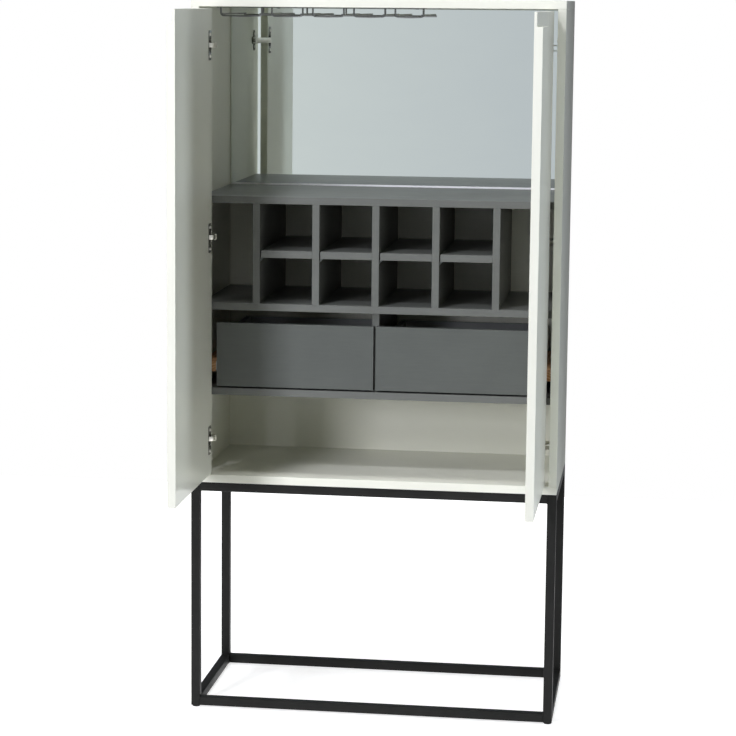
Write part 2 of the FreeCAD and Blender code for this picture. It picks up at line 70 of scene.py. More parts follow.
class Wire:
    def __init__(self, paint, socket):
        self.paint = paint
        self.socket = socket

    def maths(self, operation, first, second):
        return self.paint.node("ShaderNodeMath", {"operation": operation}, {0: first, 1: second})

    def __add__(self, other):
        return self.maths("ADD", self, other)

    def __radd__(self, other):
        return self.maths("ADD", other, self)

    def __sub__(self, other):
        return self.maths("SUBTRACT", self, other)

    def __rsub__(self, other):
        return self.maths("SUBTRACT", other, self)

    def __mul__(self, other):
        return self.maths("MULTIPLY", self, other)

    def __rmul__(self, other):
        return self.maths("MULTIPLY", other, self)

    def __lt__(self, other):
        return self.maths("LESS_THAN", self, other)

    def __abs__(self):
        return self.maths("ABSOLUTE", self, 0)

    def largest(self, other):
        return self.maths("MAXIMUM", self, other)


class Paint:
    def __init__(self, name, world=None):
        if world:
            self.tree = world.node_tree
        else:
            self.material = bpy.data.materials.new(name)
            self.material.use_nodes = True
            self.tree = self.material.node_tree
        self.tree.nodes.clear()

    def node(self, kind, settings=None, values=None, output=0):
        made = self.tree.nodes.new(kind)
        for name, value in (settings or {}).items():
            setattr(made, name, value)
        for key, value in (values or {}).items():
            socket = made.inputs[key]
            if isinstance(value, Wire):
                self.tree.links.new(value.socket, socket)
            elif hasattr(value, "__len__") and len(value) == 3 and len(socket.default_value) == 4:
                socket.default_value = (*value, 1)
            else:
                socket.default_value = value
        return Wire(self, made.outputs[output]) if made.outputs else None

    def place(self, scale=(1, 1, 1), turn=(0, 0, 0)):
        # the piece's own coordinates in metres, stretched for a pattern
        own = self.node("ShaderNodeTexCoord", output="Object")
        return self.node("ShaderNodeMapping", {}, {"Vector": own, "Rotation": turn, "Scale": scale})

    def noise(self, scale, detail, roughness, stretch=(1, 1, 1), turn=(0, 0, 0)):
        return self.node("ShaderNodeTexNoise", {}, {
            "Vector": self.place(stretch, turn), "Scale": scale, "Detail": detail,
            "Roughness": roughness,
        })

    def bands(self, scale, way, distortion, detail):
        # about 3.2 bands to the metre for each 1 of the scale
        settings = {"wave_type": "BANDS", "bands_direction": way}
        return self.node("ShaderNodeTexWave", settings, {
            "Vector": self.place(), "Scale": scale, "Distortion": distortion, "Detail": detail,
        }, output="Fac")

    def span(self, value, fromLow, fromHigh, low, high):
        # value between two limits, mapped to two others
        return self.node("ShaderNodeMapRange", {"clamp": True}, {
            "Value": value, "From Min": fromLow, "From Max": fromHigh,
            "To Min": low, "To Max": high,
        })

    def mixed(self, factor, first, second):
        values = {0: factor, 6: first, 7: second}
        return self.node("ShaderNodeMix", {"data_type": "RGBA"}, values, output=2)

    def blotched(self, value, fromLow, fromHigh, colours):
        # the first colour, turning to the second where the value is high
        return self.mixed(self.span(value, fromLow, fromHigh, 0, 1), *colours)

    def ray(self, kind):
        return self.node("ShaderNodeLightPath", output=kind)

    def bump(self, height, strength, distance, under=None):
        values = {"Height": height, "Strength": strength, "Distance": distance}
        if under:
            values["Normal"] = under
        return self.node("ShaderNodeBump", {}, values)

    def surface(self, values):
        shader = self.node("ShaderNodeBsdfPrincipled", {}, values)
        self.node("ShaderNodeOutputMaterial", {}, {"Surface": shader})
        return self.material


# Satin white lacquer on board: a sprayed film with a faint orange peel and soft handling marks
whiteFinish = {
    "colours": ((0.870, 0.870, 0.745), (0.850, 0.851, 0.720)),
    "gloss": (0.40, 0.50),
    "coat": 0.55,
    "coatGloss": 0.175,
    "cloudSize": 5.5,
    "handledSize": 21,
    "peelSize": 240,
    "peelDepth": 0.00003,
}


def whiteLacquer():
    paint = Paint("whiteLacquer")
    cloud = paint.noise(whiteFinish["cloudSize"], 4, 0.55)
    handled = paint.noise(whiteFinish["handledSize"], 6, 0.62)
    peel = paint.noise(whiteFinish["peelSize"], 2, 0.4)
    return paint.surface({
        "Base Color": paint.blotched(cloud, 0.35, 0.7, whiteFinish["colours"]),
        "Roughness": paint.span(handled * 0.7 + cloud * 0.3, 0.35, 0.65, *whiteFinish["gloss"]),
        "Normal": paint.bump(peel, 0.25, whiteFinish["peelDepth"]),
        "Specular IOR Level": 0.3, "Coat Weight": whiteFinish["coat"],
        "Coat Roughness": whiteFinish["coatGloss"],
    })


# Satin anthracite lacquer: fine lapped streaks along the boards and a little mottle
darkFinish = {
    "board": ((0.148, 0.154, 0.139), (0.128, 0.133, 0.120)),
    "drawerFront": ((0.104, 0.112, 0.101), (0.091, 0.098, 0.089)),
    "gloss": (0.34, 0.44),
    "streak": (3, 60, 60),
    "streakSize": 7,
    "cloudSize": 9,
    "peelSize": 420,
}


def darkLacquer(kind):
    paint = Paint(kind + "Lacquer")
    cloud = paint.noise(darkFinish["cloudSize"], 4, 0.6)
    streak = paint.noise(darkFinish["streakSize"], 5, 0.6, darkFinish["streak"])
    peel = paint.bump(paint.noise(darkFinish["peelSize"], 2, 0.45), 0.3, 0.00004)
    return paint.surface({
        "Base Color": paint.blotched(cloud * 0.6 + streak * 0.4, 0.38, 0.66, darkFinish[kind]),
        "Roughness": paint.span(streak * 0.75 + cloud * 0.25, 0.36, 0.66, *darkFinish["gloss"]),
        "Normal": paint.bump(streak, 0.1, 0.00008, peel), "Specular IOR Level": 0.4,
    })


# Matt grey foil inside the drawers: a fine pressed linen
foilFinish = {
    "colours": ((0.31, 0.32, 0.31), (0.38, 0.39, 0.38)),
    "gloss": (0.5, 0.62),
    "threads": 174.603,
    "blotchSize": 30,
}


def drawerFoil():
    paint = Paint("drawerFoil")
    along, across = (paint.bands(foilFinish["threads"], way, 0.7, 1.0) for way in ("Y", "Z"))
    weave = along * 0.5 + across * 0.5
    blotch = paint.noise(foilFinish["blotchSize"], 4, 0.6)
    return paint.surface({
        "Base Color": paint.mixed(weave * 0.7 + blotch * 0.3, *foilFinish["colours"]),
        "Roughness": paint.span(blotch, 0.3, 0.7, *foilFinish["gloss"]),
        "Normal": paint.bump(weave, 0.25, 0.00006), "Specular IOR Level": 0.35,
    })


# Raw softwood spacers: grain along the batten, darker late wood, saw marks across
woodFinish = {
    "colours": ((0.86, 0.54, 0.30), (0.56, 0.29, 0.13)),
    "sawn": (0.70, 0.47, 0.28),
    "gloss": (0.62, 0.8),
    "swaySize": 4,
    "rings": (6, 0.35, 6),
    "ringSize": 9,
    "ringWarp": 7,
    "grain": (38, 2.2, 38),
    "grainSize": 10,
    "sawMarks": 82.54,
}


def rawWood():
    paint = Paint("rawWood")
    sway = paint.noise(woodFinish["swaySize"], 3, 0.5)
    rings = paint.node("ShaderNodeTexWave", {"wave_type": "RINGS", "rings_direction": "Y"}, {
        "Vector": paint.place(woodFinish["rings"]), "Scale": woodFinish["ringSize"],
        "Distortion": woodFinish["ringWarp"], "Detail": 3, "Detail Scale": 1.4,
    }, output="Fac")
    fibre = paint.noise(woodFinish["grainSize"], 6, 0.7, woodFinish["grain"])
    saw = paint.bands(woodFinish["sawMarks"], "Y", 2.5, 2)
    figure = rings * 0.55 + fibre * 0.5 + sway * 0.15
    colour = paint.blotched(figure, 0.25, 0.95, woodFinish["colours"])
    return paint.surface({
        "Base Color": paint.mixed(saw * 0.12, colour, woodFinish["sawn"]),
        "Roughness": paint.span(fibre, 0.3, 0.7, *woodFinish["gloss"]),
        "Normal": paint.bump(saw, 0.25, 0.0001, paint.bump(fibre, 0.4, 0.00015)),
        "Specular IOR Level": 0.3,
    })


# Silvered mirror with faint wiping marks, and its ground edge
mirrorFinish = {
    "silver": ((0.86, 0.915, 0.905), (0.845, 0.90, 0.895)), "silverGloss": (0.008, 0.03),
    "wipeSize": 6, "wipeStretch": (1, 1, 2.5), "wipeTurn": (0, 0.5, 0),
    "edge": ((0.98, 0.99, 0.985), (0.95, 0.965, 0.955)), "edgeGloss": (0.36, 0.46),
    "frostSize": 1500,
}


def mirrorSilver():
    paint = Paint("mirrorSilver")
    look = mirrorFinish
    wipe = paint.noise(look["wipeSize"], 5, 0.6, look["wipeStretch"], look["wipeTurn"])
    return paint.surface({
        "Base Color": paint.blotched(wipe, 0.3, 0.7, look["silver"]), "Metallic": 1.0,
        "Roughness": paint.span(wipe, 0.45, 0.8, *look["silverGloss"]),
    })


def groundEdge():
    paint = Paint("groundEdge")
    frost = paint.noise(mirrorFinish["frostSize"], 2, 0.5)
    return paint.surface({
        "Base Color": paint.blotched(frost, 0.3, 0.7, mirrorFinish["edge"]),
        "Roughness": paint.span(frost, 0.3, 0.7, *mirrorFinish["edgeGloss"]),
        "Normal": paint.bump(frost, 0.2, 0.00002), "Specular IOR Level": 0.6,
    })


# Plated metals: one recipe, with colour, gloss and the kind of fine marks for each
stainSize = 28
metalFinishes = {
    # the chrome wire's colour is kept far darker than real chrome: painted shade standing in for
    # the dark surroundings that the wires reflect
    "chromeWire": {
        "colours": ((0.24, 0.245, 0.25), (0.17, 0.175, 0.18)), "gloss": (0.08, 0.18),
        "marks": (1, 1, 1), "markSize": 260,
    },
    "brightNickel": {
        "colours": ((0.86, 0.84, 0.76), (0.70, 0.68, 0.61)), "gloss": (0.26, 0.38),
        "marks": (1, 1, 14), "markSize": 320,
    },
    # a darker copy of the hinge nickel for the cups and plates: painted shade standing in for the
    # shade and dark outlines about the hinges
    "blackNickel": {
        "colours": ((0.20, 0.195, 0.175), (0.12, 0.117, 0.105)), "gloss": (0.16, 0.28),
        "marks": (1, 1, 14), "markSize": 320,
    },
    "zincPlate": {
        "colours": ((0.66, 0.68, 0.71), (0.48, 0.50, 0.53)), "gloss": (0.30, 0.46),
        "marks": (20, 1, 20), "markSize": 90,
    },
}


def platedMetal(name):
    finish = metalFinishes[name]
    paint = Paint(name)
    drawn = paint.noise(finish["markSize"], 4, 0.6, finish["marks"])
    stain = paint.noise(stainSize, 5, 0.65)
    return paint.surface({
        "Base Color": paint.blotched(stain * 0.7 + drawn * 0.3, 0.38, 0.7, finish["colours"]),
        "Roughness": paint.span(drawn * 0.5 + stain * 0.5, 0.35, 0.65, *finish["gloss"]),
        "Normal": paint.bump(drawn, 0.18, 0.00003), "Metallic": 1.0,
    })


# Coatings with a fine grain that wear lighter: on the cast clips under the shelves, painted like
# the boards, and the black plastic of the glides and plugs
coatings = {
    "paintedCast": {
        "colours": ((0.090, 0.097, 0.091), (0.125, 0.132, 0.126)), "gloss": (0.45, 0.6),
        "wornFrom": 0.4, "wornSize": 90, "shine": 0.35,
        "grain": (700, 3, 0.55), "grainDepth": 0.00006,
    },
    "blackPlastic": {
        "colours": ((0.014, 0.014, 0.0145), (0.028, 0.028, 0.028)), "gloss": (0.42, 0.58),
        "wornFrom": 0.45, "wornSize": 60, "shine": 0.5,
        "grain": (1800, 2, 0.5), "grainDepth": 0.00004,
    },
}


def wornCoating(name):
    finish = coatings[name]
    paint = Paint(name)
    worn = paint.noise(finish["wornSize"], 4, 0.6)
    return paint.surface({
        "Base Color": paint.blotched(worn, finish["wornFrom"], 0.7, finish["colours"]),
        "Roughness": paint.span(worn, 0.3, 0.7, *finish["gloss"]),
        "Normal": paint.bump(paint.noise(*finish["grain"]), 0.3, finish["grainDepth"]),
        "Specular IOR Level": finish["shine"],
    })


# Matt black powder coat on the tube base: a pebbled skin, a touch greyer where it has been rubbed
powderFinish = {
    "colours": ((0.0105, 0.0105, 0.0094), (0.018, 0.018, 0.0165)), "gloss": (0.44, 0.58),
    "pebbles": 1150, "pebbleDepth": 0.00006, "rubbedSize": 14,
}


def powderCoat():
    paint = Paint("powderCoat")
    pebble = paint.node("ShaderNodeTexVoronoi", {"feature": "SMOOTH_F1"}, {
        "Vector": paint.place(), "Scale": powderFinish["pebbles"], "Smoothness": 0.8,
    })
    rubbed = paint.noise(powderFinish["rubbedSize"], 5, 0.65)
    return paint.surface({
        "Base Color": paint.blotched(rubbed, 0.42, 0.75, powderFinish["colours"]),
        "Roughness": paint.span(rubbed, 0.3, 0.7, *powderFinish["gloss"]),
        "Normal": paint.bump(pebble, 0.35, powderFinish["pebbleDepth"]), "Specular IOR Level": 0.21,
    })


finishes = {
    "white_lacquer": whiteLacquer(),
    "dark_lacquer": darkLacquer("board"),
    "drawer_board": drawerFoil(),
    "raw_wood": rawWood(),
    "mirror_glass": mirrorSilver(),
    "chrome_wire": platedMetal("chromeWire"),
    "bright_nickel": platedMetal("brightNickel"),
    "zinc_plated": platedMetal("zincPlate"),
    "support_metal": wornCoating("paintedCast"),
    "black_steel": powderCoat(),
    "black_plastic": wornCoating("blackPlastic"),
}
mirrorEdge = groundEdge()
drawerPaint = darkLacquer("drawerFront")
# the darker hinge nickel, painted shade for the cups and plates
shadedPlateNickel = platedMetal("blackNickel")
for name, node in nodes.items():
    node.data.materials.clear()
    node.data.materials.append(finishes[slotOf[name]])
print("finishes made")


# Making pieces

def asPiece(name, shape, body, slot, stands=(), smooth=None, extra=()):
    # a finished bmesh becomes an object at the origin, riding on its body
    mesh = bpy.data.meshes.new(name)
    shape.to_mesh(mesh)
    shape.free()
    for material in (finishes[slot], *extra):
        mesh.materials.append(material)
    if smooth:
        mesh.shade_smooth()
        mesh.set_sharp_from_angle(angle=math.radians(smooth))
    piece = bpy.data.objects.new(name, mesh)
    bpy.context.scene.collection.objects.link(piece)
    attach(piece, body)
    if stands:
        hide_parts(*stands)
    return piece


joinWithin = 0.002 * mm
flatWithin = math.radians(1)


def mergedCopy(name):
    shape = bmesh.new()
    shape.from_mesh(nodes[name].data)
    bmesh.ops.remove_doubles(shape, verts=shape.verts, dist=joinWithin)
    bmesh.ops.dissolve_limit(shape, angle_limit=flatWithin, verts=shape.verts, edges=shape.edges)
    return shape


def easeEdges(shape, width, segments=2, sharp=30, longer=0):
    edges = [
        edge for edge in shape.edges
        if len(edge.link_faces) == 2
        and edge.calc_face_angle(0) > math.radians(sharp)
        and edge.calc_length() > longer
    ]
    bmesh.ops.bevel(
        shape, geom=edges, offset=width, offset_type="OFFSET", affect="EDGES", segments=segments,
        profile=0.5, clamp_overlap=True, material=-1,
    )


def easedNode(name, ending, width, segments=2, sharp=30, longer=0, smooth=None):
    # a node's own solid with its edges softened stands for it
    shape = mergedCopy(name)
    easeEdges(shape, width, segments, sharp, longer)
    return asPiece(name + ending, shape, bodyOf[name], slotOf[name], [name], smooth)


def append(shape, part, matrix=Matrix.Identity(4)):
    # adds a finished small bmesh to a larger one, at a place
    mesh = bpy.data.meshes.new("small")
    part.to_mesh(mesh)
    mesh.transform(matrix)
    shape.from_mesh(mesh)
    bpy.data.meshes.remove(mesh)


def turnedAbout(profile, steps):
    # a solid of revolution about Z from points of radius and height
    shape = bmesh.new()
    points = [shape.verts.new((radius, 0, height)) for radius, height in profile]
    edges = [shape.edges.new(pair) for pair in zip(points, points[1:])]
    bmesh.ops.spin(
        shape, geom=points + edges, cent=(0, 0, 0), axis=(0, 0, 1), dvec=(0, 0, 0),
        angle=2 * math.pi, steps=steps, use_merge=True, use_duplicate=False,
    )
    bmesh.ops.remove_doubles(shape, verts=shape.verts, dist=joinWithin)
    bmesh.ops.recalc_face_normals(shape, faces=shape.faces)
    return shape


def standing(place, axis):
    # matrix that puts a part made along +Z at a place, pointing along an axis
    return Matrix.Translation(place) @ Vector(axis).to_track_quat("Z", "Y").to_matrix().to_4x4()


def slab(low, high, ease):
    shape = bmesh.new()
    bmesh.ops.create_cube(shape, size=1)
    size = Vector(high) - Vector(low)
    bmesh.ops.scale(shape, vec=size, verts=shape.verts)
    bmesh.ops.translate(shape, vec=(Vector(high) + Vector(low)) / 2, verts=shape.verts)
    easeEdges(shape, ease)
    return shape


# Cross-head screws: a low domed head with a tapered cross cut into it
screwSizes = {
    "radius": 3.75, "height": 1.35, "sides": 24, "crown": 0.78, "shoulder": 1.19,
    "shoulderDrop": 0.28, "rim": 1.07, "cross": 2.0, "arm": 0.42, "deep": 0.9, "pitTaper": 0.55,
}


def pulled(shape, edges, spread, drop):
    # extrudes a ring of edges, widens or narrows the new ring and lowers it
    made = bmesh.ops.extrude_edge_only(shape, edges=edges)["geom"]
    verts = [item for item in made if isinstance(item, bmesh.types.BMVert)]
    bmesh.ops.scale(shape, vec=(spread, spread, 1), verts=verts)
    bmesh.ops.translate(shape, vec=(0, 0, -drop), verts=verts)
    return [item for item in made if isinstance(item, bmesh.types.BMEdge)]


def crossHead(scale):
    size = screwSizes
    height, reach, arm = size["height"], size["cross"], size["arm"]
    shape = bmesh.new()
    corners = [
        (reach, -arm), (reach, arm), (arm, arm), (arm, reach), (-arm, reach), (-arm, arm),
        (-reach, arm), (-reach, -arm), (-arm, -arm), (-arm, -reach), (arm, -reach), (arm, -arm),
    ]
    cross = [shape.verts.new((x, y, height)) for x, y in corners]
    crossEdges = [shape.edges.new((cross[i - 1], cross[i])) for i in range(len(cross))]
    ring = bmesh.ops.create_circle(
        shape, cap_ends=False, radius=size["radius"] * size["crown"], segments=size["sides"],
    )
    bmesh.ops.translate(shape, vec=(0, 0, height), verts=ring["verts"])
    crownEdges = list({edge for vert in ring["verts"] for edge in vert.link_edges})
    bmesh.ops.bridge_loops(shape, edges=crossEdges + crownEdges)
    shoulder = pulled(shape, crownEdges, size["shoulder"], height * size["shoulderDrop"])
    rim = pulled(shape, shoulder, size["rim"], height * (1 - size["shoulderDrop"]))
    pit = pulled(shape, crossEdges, size["pitTaper"], size["deep"])
    for edges in (rim, pit):
        bmesh.ops.contextual_create(shape, geom=edges)
    bmesh.ops.recalc_face_normals(shape, faces=shape.faces)
    bmesh.ops.scale(shape, vec=(mm * scale,) * 3, verts=shape.verts)
    return shape


def screws(name, places, body, slot, stands=()):
    # places are the middle of each head's underside, the way it points, and its scale
    shape = bmesh.new()
    for place, axis, scale in places:
        append(shape, crossHead(scale), standing(place, axis))
    return asPiece(name, shape, body, slot, stands, smooth=35)


# Boards: the solids with their edges eased, as lacquered board has them
boardEase = {
    "white_lacquer": 0.9 * mm, "dark_lacquer": 0.7 * mm, "drawer_board": 0.5 * mm,
    "raw_wood": 0.35 * mm, "leastEdge": 7 * mm,
}
for name in sorted(nodes):
    if slotOf[name] in boardEase:
        ease = boardEase[slotOf[name]]
        piece = easedNode(name, "_eased", ease, segments=3, longer=boardEase["leastEdge"])
        if name.endswith("drawer_front"):
            piece.data.materials[0] = drawerPaint
print("boards eased")


# Base of square tube: rounder arrises, and a run of weld along each inner corner of the frame
tubeSizes = {
    "side": 20 * mm, "ease": 0.55 * mm, "leastEdge": 3 * mm, "weld": 1.3 * mm, "weldShare": 0.86,
    "weldSides": 10, "weldEnd": 0.4,
}
for name in sorted(nodes):
    if slotOf[name] == "black_steel":
        easedNode(name, "_tubes", tubeSizes["ease"], longer=tubeSizes["leastEdge"], smooth=32)


def weldBeads():
    # small fillets where the rails meet the legs, ground nearly flush under the coating
    shape = bmesh.new()
    side, bead = tubeSizes["side"], tubeSizes["weld"]
    half = side / 2
    for legName in ("front_left_leg", "front_right_leg", "rear_left_leg", "rear_right_leg"):
        low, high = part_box(legName)
        middle = (low + high) / 2
        inX = 1 if middle.x < 0 else -1
        inY = 1 if "front" in legName else -1
        for level in (low.z + side, high.z - side):
            for along, across in (((inX, 0), (0, 1)), ((0, inY), (1, 0))):
                corner = Vector((middle.x + along[0] * half, middle.y + along[1] * half, level))
                bar = bmesh.new()
                bmesh.ops.create_cone(
                    bar, cap_ends=True, segments=tubeSizes["weldSides"], radius1=bead, radius2=bead,
                    depth=side * tubeSizes["weldShare"],
                )
                easeEdges(bar, bead * tubeSizes["weldEnd"], sharp=60)
                append(shape, bar, standing(corner, (*across, 0)))
    asPiece("base_welds", shape, bodyOf["front_left_leg"], "black_steel", smooth=50)


weldBeads()
print("base made")


# Levelling glides: a round foot with a soft lip, a collar above it, and its stem
glideSizes = {
    "footShare": 0.97, "lip": 0.7, "footTop": 1.6, "slope": 0.8, "slopeTop": 2.2, "collar": 6.6,
    "collarFoot": 2.6, "height": 4.0, "stem": 4.0, "stemTop": 34.0, "chamfer": 1.0, "steps": 40,
}


def glide(name):
    low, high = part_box(name)
    middle = (low + high) / 2
    size = glideSizes
    radius = (high.x - low.x) / 2 / mm * size["footShare"]
    outline = [
        (0, 0), (radius - size["lip"], 0), (radius, size["lip"]), (radius, size["footTop"]),
        (radius - size["slope"], size["slopeTop"]), (size["collar"], size["collarFoot"]),
        (size["collar"], size["height"]), (size["stem"], size["height"]),
        (size["stem"], size["stemTop"] - size["chamfer"]),
        (size["stem"] - size["chamfer"], size["stemTop"]), (0, size["stemTop"]),
    ]
    shape = turnedAbout([(r * mm, h * mm) for r, h in outline], size["steps"])
    bmesh.ops.translate(shape, vec=(middle.x, middle.y, 0), verts=shape.verts)
    asPiece(name + "_turned", shape, bodyOf[name], "black_plastic", [name], smooth=35)


for corner in ("front_left", "front_right", "rear_left", "rear_right"):
    glide(corner + "_glide")
print("glides made")


# Mirror: silvered, with a bevel all round, of which the foot catches the light as ground glass
mirrorSizes = {"bevelWidth": 6.0 * mm, "bevelDepth": 0.6 * mm, "sideGap": 1.3 * mm}


def mirror():
    low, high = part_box("mirror_panel")
    middle = (low + high) / 2
    shape = bmesh.new()
    bmesh.ops.create_cube(shape, size=1)
    size = high - low - Vector((2 * mirrorSizes["sideGap"], 0, 0))
    bmesh.ops.scale(shape, vec=size, verts=shape.verts)
    bmesh.ops.translate(shape, vec=middle, verts=shape.verts)
    face = min(shape.faces, key=lambda item: item.calc_center_median().y)
    for other in shape.faces:
        other.material_index = 0 if other == face else 1
    width = mirrorSizes["bevelWidth"]
    bevel = bmesh.ops.inset_individual(shape, faces=[face], thickness=width, depth=0)["faces"]
    foot = min(bevel, key=lambda item: item.calc_center_median().z)
    for strip in bevel:
        strip.material_index = 1 if strip == foot else 0
    inner = list(face.verts)
    outer = [vert for vert in shape.verts if vert not in inner and vert.co.y < middle.y]
    bmesh.ops.translate(shape, vec=(0, mirrorSizes["bevelDepth"], 0), verts=outer)
    bmesh.ops.recalc_face_normals(shape, faces=shape.faces)
    asPiece(
        "mirror_glass", shape, bodyOf["mirror_panel"], "mirror_glass", ["mirror_panel"],
        extra=[mirrorEdge],
    )


mirror()
print("mirror made")


# Glass rack: round chrome wire bent at its corners, welded under two strips
rackSizes = {
    "left": -354.4, "width": 450.6, "front": 58.25, "rear": 338.25, "wireZ": 1562.5,
    "ceiling": 1582.0, "firstTray": 91.8, "pitch": 91.3, "slots": 4, "slotWidth": 22.5,
    "wire": 4.0, "bend": 6.0, "bendSteps": 7, "dip": 1.0, "weld": 3.6, "stripWidth": 14.0,
    "stripThick": 2.0, "stripEase": 0.4, "overhang": 8.0, "screwLeft": 128.6, "screwRight": 14.7,
}


def roundedPath(points):
    # the corners of a chain of points, rounded off by a bevel of all but the dip in the middle
    chain = bmesh.new()
    verts = [chain.verts.new(point) for point in points]
    for pair in zip(verts, verts[1:]):
        chain.edges.new(pair)
    bends = [vert for vert in verts[1:-1] if vert != verts[len(verts) // 2]]
    bmesh.ops.bevel(
        chain, geom=bends, offset=rackSizes["bend"], offset_type="OFFSET", affect="VERTICES",
        segments=rackSizes["bendSteps"], profile=0.5, clamp_overlap=True, material=-1,
    )
    ends = [vert for vert in chain.verts if len(vert.link_edges) == 1]
    start = min(ends, key=lambda vert: (vert.co - Vector(points[0])).length)
    path = [start.co.copy()]
    edge = start.link_edges[0]
    vert = edge.other_vert(start)
    while True:
        path.append(vert.co.copy())
        onward = [item for item in vert.link_edges if item != edge]
        if not onward:
            break
        edge = onward[0]
        vert = edge.other_vert(vert)
    chain.free()
    return path


def addWire(shape, path, radius):
    curve = bpy.data.curves.new("wire", "CURVE")
    curve.dimensions = "3D"
    spline = curve.splines.new("POLY")
    spline.points.add(len(path) - 1)
    for point, place in zip(spline.points, path):
        point.co = (*place, 1)
    curve.bevel_depth = radius
    curve.bevel_resolution = 3
    curve.use_fill_caps = True
    bent = bpy.data.objects.new("wire", curve)
    bpy.context.scene.collection.objects.link(bent)
    mesh = bpy.data.meshes.new_from_object(bent)
    mesh.transform(Matrix.Scale(mm, 4))
    shape.from_mesh(mesh)
    bpy.data.objects.remove(bent)
    bpy.data.meshes.remove(mesh)
    bpy.data.curves.remove(curve)


def glassRack():
    size = rackSizes
    left, front, rear, wireZ = size["left"], size["front"], size["rear"], size["wireZ"]
    right = left + size["width"]
    slots = [left + size["firstTray"] + n * size["pitch"] for n in range(size["slots"])]
    trays = zip([left] + [slot + size["slotWidth"] for slot in slots], slots + [right])
    stripLow = size["ceiling"] - size["stripThick"]
    wireTop = stripLow + size["stripThick"] / 2
    radius = size["wire"] / 2
    railZ = wireZ + size["weld"]
    shape = bmesh.new()
    for near, far in trays:
        middle = (near + far) / 2
        corners = [
            (near, front, wireTop), (near, front, wireZ), (middle, front, wireZ - size["dip"]),
            (far, front, wireZ), (far, front, wireTop),
        ]
        addWire(shape, roundedPath(corners), radius)
        for x in (near + size["weld"], far - size["weld"]):
            addWire(shape, [(x, front - radius, railZ), (x, rear + radius, railZ)], radius)
        addWire(shape, [(middle, rear, wireZ), (middle, rear, wireTop)], radius)
    addWire(shape, [(left, rear, wireZ), (right, rear, wireZ)], radius)
    for y in (front, rear):
        low = Vector((left - size["overhang"], y - size["stripWidth"] / 2, stripLow)) * mm
        high = Vector((right + size["overhang"], y + size["stripWidth"] / 2, size["ceiling"])) * mm
        append(shape, slab(low, high, size["stripEase"] * mm))
    wires = asPiece(
        "glass_rack_wires", shape, bodyOf["glass_rack"], "chrome_wire", ["glass_rack"], smooth=35,
    )
    wires.visible_glossy = False  # the mirror's clear area stays plain, as in the photograph
    seats = [(left + size["screwLeft"], front), (right - size["screwRight"], front)]
    seats += [(slot + size["slotWidth"] / 2, rear) for slot in (slots[0], slots[-1])]
    places = [(Vector((x, y, stripLow)) * mm, (0, 0, -1), 1.0) for x, y in seats]
    screws("rack_screw_heads", places, bodyOf["rack_screws"], "chrome_wire", ["rack_screws"])


glassRack()
print("glass rack made")


# Concealed hinges, at three heights on each side: made at the left and mirrored to the right
hingeSizes = {
    "heights": (621.0, 1075.0, 1498.0), "wall": -392.0, "front": -1.75, "ease": 0.22,
    "cupFace": -363.8, "cupScrewY": -16.25, "cupScrews": 24.0, "plateThick": 2.5,
    "plateScrewY": 57.25, "plateScrews": 16.0, "pin": (-359.892, 16.602), "tip": (-369.0, -0.75),
    "linkHalf": 5.0, "linkThick": 1.6, "linkEase": 0.18, "linkSteps": 12, "bulge": 5.5, "eye": 2.6,
    "tipEye": 1.9, "tipPin": 0.95, "tipReach": 3.0, "postSides": 28, "chamfer": 0.3,
    "web": ((14.5, 50.0), (11.5, 84.0)), "webScrews": (57.5, 76.0), "webScrewScale": 0.72,
}


def mirroredX(shape):
    twin = shape.copy()
    bmesh.ops.scale(twin, vec=(-1, 1, 1), verts=twin.verts)
    bmesh.ops.reverse_faces(twin, faces=twin.faces)
    return twin


def post(place, low, high, radius):
    # upright round bar with a small chamfer at each end
    edge = min(hingeSizes["chamfer"], radius * 0.2)
    profile = [
        (0, low), (radius - edge, low), (radius, low + edge), (radius, high - edge),
        (radius - edge, high), (0, high),
    ]
    shape = turnedAbout([(r * mm, h * mm) for r, h in profile], hingeSizes["postSides"])
    bmesh.ops.translate(shape, vec=(place[0] * mm, place[1] * mm, 0), verts=shape.verts)
    return shape


def crankedLink(level):
    size = hingeSizes
    pin, tip = Vector(size["pin"]), Vector(size["tip"])
    along = (tip - pin).normalized()
    across = Vector((-along.y, along.x))
    half = (tip - pin).length / 2
    radius = (half ** 2 + size["bulge"] ** 2) / (2 * size["bulge"])
    middle = (pin + tip) / 2 - across * (radius - size["bulge"])
    spread = math.asin(half / radius)
    steps = size["linkSteps"]
    turns = [spread * (n / steps - 1) for n in range(2 * steps + 1)]
    low, high = level - size["linkHalf"], level + size["linkHalf"]
    strip = bmesh.new()
    outline = []
    for reach, angles in ((size["linkThick"] / 2, turns), (-size["linkThick"] / 2, turns[::-1])):
        for angle in angles:
            point = middle + (across * math.cos(angle) + along * math.sin(angle)) * (radius + reach)
            outline.append(strip.verts.new((point.x * mm, point.y * mm, low * mm)))
    face = strip.faces.new(outline)
    raised = bmesh.ops.extrude_face_region(strip, geom=[face])
    verts = [item for item in raised["geom"] if isinstance(item, bmesh.types.BMVert)]
    bmesh.ops.translate(strip, vec=(0, 0, (high - low) * mm), verts=verts)
    bmesh.ops.recalc_face_normals(strip, faces=strip.faces)
    easeEdges(strip, size["linkEase"] * mm, sharp=50)
    eyes = [post(size["pin"], low, high, size["eye"]), post(size["tip"], low, high, size["tipEye"])]
    pivot = post(size["tip"], low - size["tipReach"], high + size["tipReach"], size["tipPin"])
    shape = bmesh.new()
    for part in (strip, *eyes, pivot):
        append(shape, part)
        part.free()
    return shape


